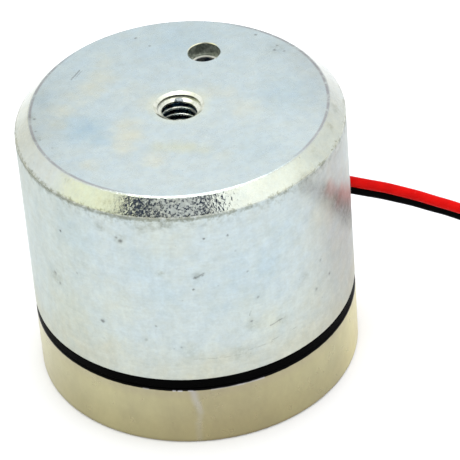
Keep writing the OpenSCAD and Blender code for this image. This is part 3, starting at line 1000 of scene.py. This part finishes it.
def zinc():
    """The nodes' order and number matter: with a few more live values the shader is too
    large for the renderer and turns black."""
    s = Zinc()
    plate(s)
    add_clouds(s)
    paint_shaded_ends(s)
    add_handling(s)
    paint_lead_reflection(s)
    pits = s.larger(s.spots(PITS, s.warped(3.0, 0.25)), s.strokes(SCRATCHES, s.warped(1.8, 0.3)))
    pits = s.larger(pits, s.times(tiny_dots(s, 0.9, 0.35), 0.3))
    s.paint(pits, PIT)
    scraped = s.smooth(s.noise(2.4, 4, 0.7, place=s.stretched(1, 1, 0.8)), 0.35, 0.7)
    paint_threaded_hole(s, scraped)
    in_hole, ledge = paint_locating_hole(s, scraped)

    rough = s.smooth(s.noise(1.3, 4, 0.6), 0.3, 0.75, 0.25, 0.34)
    rough = s.blend(s.on_wall, rough, s.smooth(s.noise(0.9, 4, 0.6), 0.3, 0.7, 0.50, 0.60))
    in_front = s.smooth(s.away(s.place, PATCH_MIDDLE), 6.2, 4.9)
    rougher = s.minus(s.smooth(s.x, -7.2, -4.6, -0.05, 0.06), s.smooth(s.x, -3.0, 0.5, 0.0, 0.14))
    grains = s.smooth(s.plus(s.noise(4.5, 4, 0.7), rougher), 0.40, 0.62, 0.08, 0.44)
    satin = s.smooth(s.noise(1.2, 3, 0.6), 0.3, 0.7, 0.16, 0.26)
    rough = s.blend(s.on_chamfer, rough, s.blend(in_front, satin, grains))
    rough = s.blend(in_hole, rough, 0.45)
    rough = s.blend(ledge, rough, 0.7)

    peel = s.noise(3.2, 2, 0.5)
    from_edge = s.math("MINIMUM", s.size(s.minus(s.r, FLAT_R)), s.size(s.minus(s.z, CHAMFER_Z)))
    wavy = s.plus(from_edge, s.times(s.minus(s.noise(1.4, 3, 0.6), 0.5), 0.10))
    normal = s.bump(s.noise(0.8, 2, 0.5), 0.012)
    normal = s.bump(s.noise(4.2, 3, 0.6), 0.005, normal)
    normal = s.bump(s.times(pits, -1.0), 0.03, normal)
    normal = s.bump(peel, 0.034, normal, s.times(s.on_chamfer, s.blend(in_front, 0.35, 1.0)))
    normal = s.bump(s.smooth(wavy, 0.0, 0.12), 0.03, normal)
    s.set(Base_Color=s.tone, Roughness=rough, Normal=normal, Metallic=s.blend(s.on_wall, 1.0, 0.8))
    return s.material


NICKEL_PALE = (0.455, 0.422, 0.245)
# Painted shade: the darker golden tone of the keeper's front
NICKEL_FRONT_SHADE = (0.375, 0.333, 0.193)
NICKEL_STREAK = (0.405, 0.385, 0.335)
# Painted shade and painted highlights on the keeper's bevel
BEVEL_SHADE = (0.003, 0.003, 0.003)
BEVEL_GLINT = (0.46, 0.45, 0.45)
NICKEL_DOT = (0.13, 0.12, 0.10)


def nickel():
    s = Shader("nickel_plate", {"Metallic": 1.0})
    # Painted shade: a darker golden front, standing in for the shaded floor it reflects
    front_shade = s.spots(marks(side=[(-94, 2.6, 13.0, 1.0)]), s.warped(0.3, 2.0))
    s.tone = s.mix(front_shade, NICKEL_PALE, NICKEL_FRONT_SHADE)
    # Painted light: the keeper lighter and paler towards its left and right ends, for the brighter floor
    # they reflect
    to_ends = s.smooth(s.away(s.place, on_side(-100, 3)), 12.5, 19.0)
    end_tint = s.mix(s.smooth(s.x, 6.0, 12.0), (1.18, 1.20, 1.18), (1.48, 1.46, 1.20))
    s.tint(to_ends, end_tint)
    # Painted shade: darker lower down, where the keeper reflects the shaded floor by its base
    s.tint(s.smooth(s.z, 4.4, 1.2), (0.96, 0.94, 0.90))
    drift = s.smooth(s.noise(1.0, 4, 0.65, place=s.stretched(0.3, 0.3, 0.12)), 0.3, 0.7)
    s.tint(drift, (0.90, 0.90, 0.93))
    fine = s.noise(1.0, 4, 0.7, place=s.stretched(1.2, 1.2, 0.8))
    s.tone = s.shaded(s.tone, s.smooth(fine, 0.25, 0.75, 0.965, 1.03))
    streak = s.strokes(KEEPER_STREAK, s.warped(0.8, 0.4))
    s.paint(s.times(streak, s.smooth(s.z, 2.5, 5.5, 0.4, 0.8)), NICKEL_STREAK)
    # Painted shade along the bottom edge by the floor, and a bluish painted shade towards the top under
    # the ring
    s.tint(s.smooth(s.z, 0.5, 0.1), (0.80, 0.78, 0.76))
    s.tint(s.smooth(s.z, 4.9, 6.0, 0.0, 0.8), (0.92, 0.91, 1.0))
    # painted shade on the bevel next to the ring, with painted highlights as bright dashes
    edge_z = s.plus(s.z, s.times(s.noise(1.5, 2, 0.6), 0.08))
    bevel = s.times(s.smooth(edge_z, KEEPER_TOP - 0.23, KEEPER_TOP - 0.17),
                    s.smooth(s.radius(), KEEPER_R - 0.6, KEEPER_R - 0.5))
    line = s.strokes(KEEPER_GLINTS, s.warped(1.5, 0.1))
    s.paint(bevel, BEVEL_SHADE)
    s.paint(line, BEVEL_GLINT)
    s.paint(s.times(tiny_dots(s, 0.6, 0.2), 0.35), NICKEL_DOT)
    rough = s.smooth(s.noise(0.8, 3, 0.6), 0.3, 0.7, 0.27, 0.33)
    normal = s.bump(s.noise(0.5, 2, 0.5), 0.01)
    normal = s.bump(s.noise(4.0, 2, 0.5), 0.0015, normal)
    s.set(Base_Color=s.tone, Roughness=rough, Normal=normal)
    return s.material


wear(["housing", back_thread], zinc())
wear(["keeper_disc", keeper_thread], nickel())


def cloudy(name, inputs, grain, colours, rough, relief):
    """A surface with one noise for its colour, roughness and relief."""
    s = Shader(name, inputs)
    noise = s.noise(*grain)
    s.set(Base_Color=s.mix(noise, *colours), Roughness=s.smooth(noise, 0.3, 0.7, *rough),
          Normal=s.bump(noise, relief))
    return s.material


def tinned():
    s = Shader("tinned_copper", {"Metallic": 1.0})
    patches = s.noise(5.0, 3, 0.6)
    copper_showing = s.smooth(patches, 0.66, 0.76, 0.0, 0.5)
    s.set(Base_Color=s.mix(copper_showing, (0.66, 0.66, 0.65), (0.62, 0.38, 0.22)),
          Roughness=s.smooth(patches, 0.3, 0.7, 0.22, 0.42), Normal=s.bump(patches, 0.01))
    return s.material


def enamelled():
    s = Shader("enamelled_copper", {"Metallic": 1.0, "Coat Weight": 0.6, "Coat Roughness": 0.12})
    tint = s.noise(0.8, 3, 0.6)
    s.set(Base_Color=s.mix(tint, (0.42, 0.13, 0.04), (0.62, 0.26, 0.09)),
          Roughness=s.smooth(tint, 0.3, 0.7, 0.22, 0.38), Normal=s.bump(s.noise(9, 2), 0.004))
    return s.material


wear(["start_joint", "finish_joint"], cloudy(
    "solder", {"Metallic": 1.0}, grain=(2.5, 3, 0.55),
    colours=((0.55, 0.56, 0.58), (0.70, 0.71, 0.72)), rough=(0.12, 0.3), relief=0.06))
inner_ends = [small_wires["red_inner_end"], small_wires["black_inner_end"]]
wear([red_strands, black_strands, *inner_ends], tinned())
tails = [small_wires["start_tail"], small_wires["finish_tail"]]
wear([winding, *tails], enamelled())

# ---- plastics, rubber, paper


DUST = (0.6, 0.55, 0.5)


def insulation(name, colour, deep, dust, gloss, coat):
    """Extruded insulation that drifts between two colours; dust is how strong its specks are."""
    s = Shader(name, {
        "Specular IOR Level": gloss, "Coat Weight": coat, "Coat Roughness": 0.12, "Coat IOR": 1.25})
    tone = s.smooth(s.noise(0.7, 3, 0.6), 0.35, 0.7)
    specks = s.smooth(s.noise(7.0, 2, 0.5), 0.68, 0.76, 0.0, dust)
    base = s.mix(specks, s.mix(tone, colour, deep), DUST)
    skin = s.bump(s.noise(3.0, 3, 0.55), 0.012)
    s.set(Base_Color=base, Roughness=s.smooth(s.noise(2.0, 3), 0.3, 0.7, 0.28, 0.42), Normal=skin)
    return s.material


def epoxy():
    s = Shader("epoxy", {"Specular IOR Level": 0.5, "Coat Weight": 0.4, "Coat Roughness": 0.1})
    cloud = s.noise(0.9, 3, 0.6)
    bubbles = s.node("ShaderNodeTexVoronoi", {"Vector": s.place, "Scale": 1.6, "Randomness": 1.0})
    dimple = s.smooth(bubbles.outputs["Distance"], 0.12, 0.0, 0.0, -1.0)
    normal = s.bump(dimple, 0.05, s.bump(cloud, 0.04))
    s.set(Base_Color=s.mix(cloud, (0.05, 0.052, 0.058), (0.085, 0.085, 0.088)),
          Roughness=s.smooth(cloud, 0.3, 0.7, 0.18, 0.34), Normal=normal)
    return s.material


def paper():
    s = Shader("insulating_paper", {"Specular IOR Level": 0.2})
    fibres = s.noise(1.6, 5, 0.7, place=s.stretched(1, 4, 1), distortion=1.5)
    s.set(Base_Color=s.mix(fibres, (0.30, 0.25, 0.18), (0.46, 0.40, 0.30)),
          Roughness=s.smooth(fibres, 0.3, 0.7, 0.75, 0.95), Normal=s.bump(fibres, 0.03))
    return s.material


def nylon():
    s = Shader("nylon", {"Specular IOR Level": 0.45, "Subsurface Weight": 0.15})
    s.put(s.bsdf.inputs["Subsurface Radius"], (0.5, 0.45, 0.35))
    s.put(s.bsdf.inputs["Subsurface Scale"], 0.4 * MM)
    flow = s.noise(0.6, 4, 0.6, distortion=0.8)
    s.set(Base_Color=s.mix(flow, (0.74, 0.71, 0.62), (0.80, 0.78, 0.72)),
          Roughness=s.smooth(flow, 0.3, 0.7, 0.42, 0.58), Normal=s.bump(s.noise(5, 3), 0.008))
    return s.material


def tape():
    s = Shader("polyester_tape", {
        "Specular IOR Level": 0.5, "Coat Weight": 0.5, "Coat Roughness": 0.08})
    wrap = s.node("ShaderNodeTexWave", {
        "Vector": s.place, "Scale": 0.09, "Distortion": 0.6, "Detail": 2.0},
        wave_type="BANDS", bands_direction="Z").outputs["Fac"]
    edge = s.smooth(wrap, 0.93, 1.0)
    wrinkle = s.noise(1.2, 3, 0.6, place=s.stretched(1, 1, 0.25))
    amber = s.mix(wrinkle, (0.72, 0.46, 0.07), (0.82, 0.56, 0.12))
    s.set(Base_Color=s.mix(edge, amber, (0.5, 0.3, 0.04)),
          Roughness=s.smooth(wrinkle, 0.3, 0.7, 0.15, 0.3),
          Normal=s.bump(edge, 0.03, s.bump(wrinkle, 0.03)))
    return s.material


WEAVE_PER_MM = 14.0  # radians of the weave's waves along the sleeve
WEAVE_ROUND = 9.0  # waves once round it


def sleeving():
    s = Shader("sleeving", {"Specular IOR Level": 0.3, "Sheen Weight": 0.3})
    angle = s.math("ARCTAN2", s.minus(s.z, (START_Z + FINISH_Z) / 2), s.minus(s.x, SPLICE_X))
    one = s.math("SINE", s.plus(s.times(s.y, WEAVE_PER_MM), s.times(angle, WEAVE_ROUND)))
    two = s.math("SINE", s.minus(s.times(s.y, WEAVE_PER_MM), s.times(angle, WEAVE_ROUND)))
    weave = s.larger(one, two)
    s.set(Base_Color=s.mix(s.smooth(weave, -0.5, 1.0), (0.55, 0.5, 0.4), (0.80, 0.77, 0.68)),
          Roughness=s.smooth(weave, -1.0, 1.0, 0.85, 0.6), Normal=s.bump(weave, 0.03))
    return s.material


red_pvc = insulation(
    "red_insulation", colour=(0.56, 0.003, 0.002), deep=(0.47, 0.002, 0.0015),
    dust=0.05, gloss=0.015, coat=0.2)
wear([red_lead], red_pvc)
black_pvc = insulation(
    "black_insulation", colour=(0.0005, 0.0005, 0.0005), deep=(0.0012, 0.0012, 0.0012),
    dust=0.006, gloss=0.01, coat=0.03)
wear([black_lead], black_pvc)
# A near-black ring that reflects almost nothing
wear(["rim_ring"], cloudy(
    "black_rubber", {"Specular IOR Level": 0.01}, grain=(6.0, 3, 0.6),
    colours=((0.0004, 0.0004, 0.0004), (0.0012, 0.0012, 0.0012)), rough=(0.45, 0.62), relief=0.012))
wear(["potting_ring", seal], epoxy())
wear(["face_washer", "back_washer"], paper())
wear(["bobbin"], nylon())
wear(["coil_tape"], tape())
wear(["start_sleeve", "finish_sleeve"], sleeving())
wear(ties, cloudy(
    "tie_plastic", {"Specular IOR Level": 0.4}, grain=(3.0, 3, 0.6),
    colours=((0.012, 0.012, 0.012), (0.03, 0.03, 0.03)), rough=(0.4, 0.6), relief=0.02))

# ---- stage and light

CAMERA_AZIMUTH = atan2(EYE.y, EYE.x)
MIDDLE = Vector((0, 0, 14)) * MM  # what the lights point at
FLOOR_HALF = 3000.0
FLOOR_WHITE = (0.88, 0.885, 0.93)
SKY = (1.2, 1.21, 1.26)
# Each glow is azimuth, elevation, radiance, and the cosines at which it starts and is full
GLOWS = [
    (-66, 45, (1.36, 1.36, 1.06), 0.80, 0.97),
    (56, 44, (1.62, 1.62, 1.56), 0.72, 0.97),
]
CARD_RADIANCE = (0.026, 0.032, 0.050)


def stage_material(name, colour, emission=0.0):
    material = bpy.data.materials.new(name)
    material.use_nodes = True
    bsdf = material.node_tree.nodes["Principled BSDF"]
    bsdf.inputs["Base Color"].default_value = (*colour, 1.0)
    bsdf.inputs["Roughness"].default_value = 0.9
    bsdf.inputs["Specular IOR Level"].default_value = 0.0
    bsdf.inputs["Emission Color"].default_value = (*colour, 1.0)
    bsdf.inputs["Emission Strength"].default_value = emission
    return material


def add_floor():
    corners = [(x * FLOOR_HALF, y * FLOOR_HALF, 0) for x, y in ((-1, -1), (1, -1), (1, 1), (-1, 1))]
    floor = add_mesh("floor", corners, [(0, 1, 2, 3)], smooth=False)
    floor.data.materials.append(stage_material("floor_white", FLOOR_WHITE))


def direction(azimuth, elevation):
    """Unit vector; azimuth is turned from the camera's side, anticlockwise from above."""
    a = CAMERA_AZIMUTH + radians(azimuth)
    e = radians(elevation)
    return Vector((cos(a) * cos(e), sin(a) * cos(e), sin(e)))


def add_softbox(name, azimuth, elevation, distance, size, radiance):
    light = bpy.data.lights.new(name, "AREA")
    light.shape = "SQUARE"
    light.size = size
    light.energy = pi * size * size * radiance
    lamp = bpy.data.objects.new(name, light)
    way = direction(azimuth, elevation)
    lamp.location = MIDDLE + way * distance
    lamp.rotation_euler = way.to_track_quat("Z", "Y").to_euler()
    bpy.context.scene.collection.objects.link(lamp)


def add_dark_card(name, az0, az1, el0, el1, distance, radiance):
    """Dark card above the camera, which the front of the chamfer reflects."""
    steps = 16
    verts, faces = [], []
    for i in range(steps + 1):
        for elevation in (el0, el1):
            way = direction(az0 + (az1 - az0) * i / steps, elevation)
            verts.append((MIDDLE + way * distance) / MM)
    for i in range(steps):
        faces.append((2 * i, 2 * i + 1, 2 * i + 3, 2 * i + 2))
    card = add_mesh(name, verts, faces)
    card.data.materials.append(stage_material(name, radiance, 1.0))
    card.visible_camera = False
    card.visible_diffuse = False
    card.visible_shadow = False


def add_world(radiance, glows):
    """Even white surroundings with soft glows."""
    world = bpy.data.worlds.new("world")
    world.use_nodes = True
    sky = Nodes(world.node_tree)
    way = sky.node("ShaderNodeTexCoord").outputs["Generated"]
    colour = radiance
    for azimuth, elevation, its_radiance, start, full in glows:
        towards = sky.vector("DOT_PRODUCT", way, direction(azimuth, elevation))
        colour = sky.mix(sky.smooth(towards, start, full), colour, its_radiance)
    sky.put(sky.tree.nodes["Background"].inputs["Color"], colour)
    bpy.context.scene.world = world


add_floor()
add_world(SKY, GLOWS)
add_softbox("overhead", azimuth=180, elevation=84, distance=0.6, size=0.34, radiance=3.6)
add_dark_card("dark_card", az0=-52, az1=24, el0=38, el1=62, distance=0.32, radiance=CARD_RADIANCE)
bpy.context.scene.view_settings.view_transform = "Standard"
